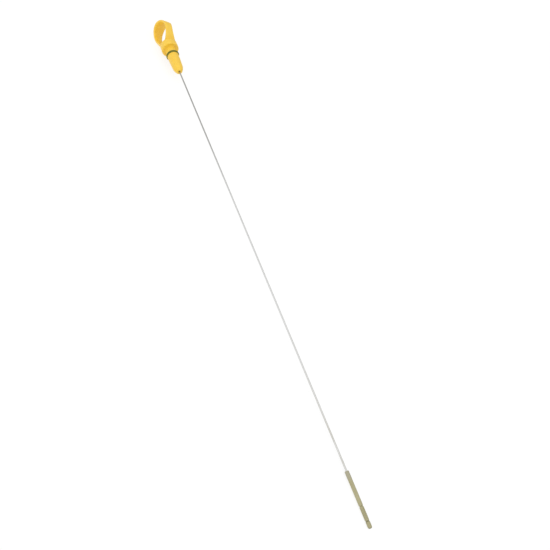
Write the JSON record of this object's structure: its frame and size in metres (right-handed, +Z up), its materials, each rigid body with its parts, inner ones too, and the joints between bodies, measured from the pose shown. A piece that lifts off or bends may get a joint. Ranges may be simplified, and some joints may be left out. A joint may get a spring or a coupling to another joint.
{
  "type": "engine oil dipstick",
  "caption": "Engine oil dipstick: moulded finger-loop handle with flange, plug and seal ring, a long straight steel wire and a moulded gauge tip with low and high oil marks.",
  "frame": {"origin": "centre of the bounding box's underside, on the floor that the dipstick lies on", "axes": "+X along the stick towards the gauge tip, to within about a degree, +Z up, +Y through the finger loop"},
  "size_m": [0.5669, 0.0192, 0.0264],
  "materials": {
    "handle_plastic": "yellow moulded nylon, satin to semi-gloss",
    "seal_rubber": "dark olive green seal rubber",
    "wire_steel": "bright drawn spring steel wire",
    "tip_plastic": "khaki moulded plastic, lightly cross-hatched between the marks"
  },
  "bodies": {
    "root": {"handle": "handle_plastic", "seal_ring": "seal_rubber", "wire": "wire_steel", "gauge_tip": "tip_plastic"}
  },
  "joints": []
}
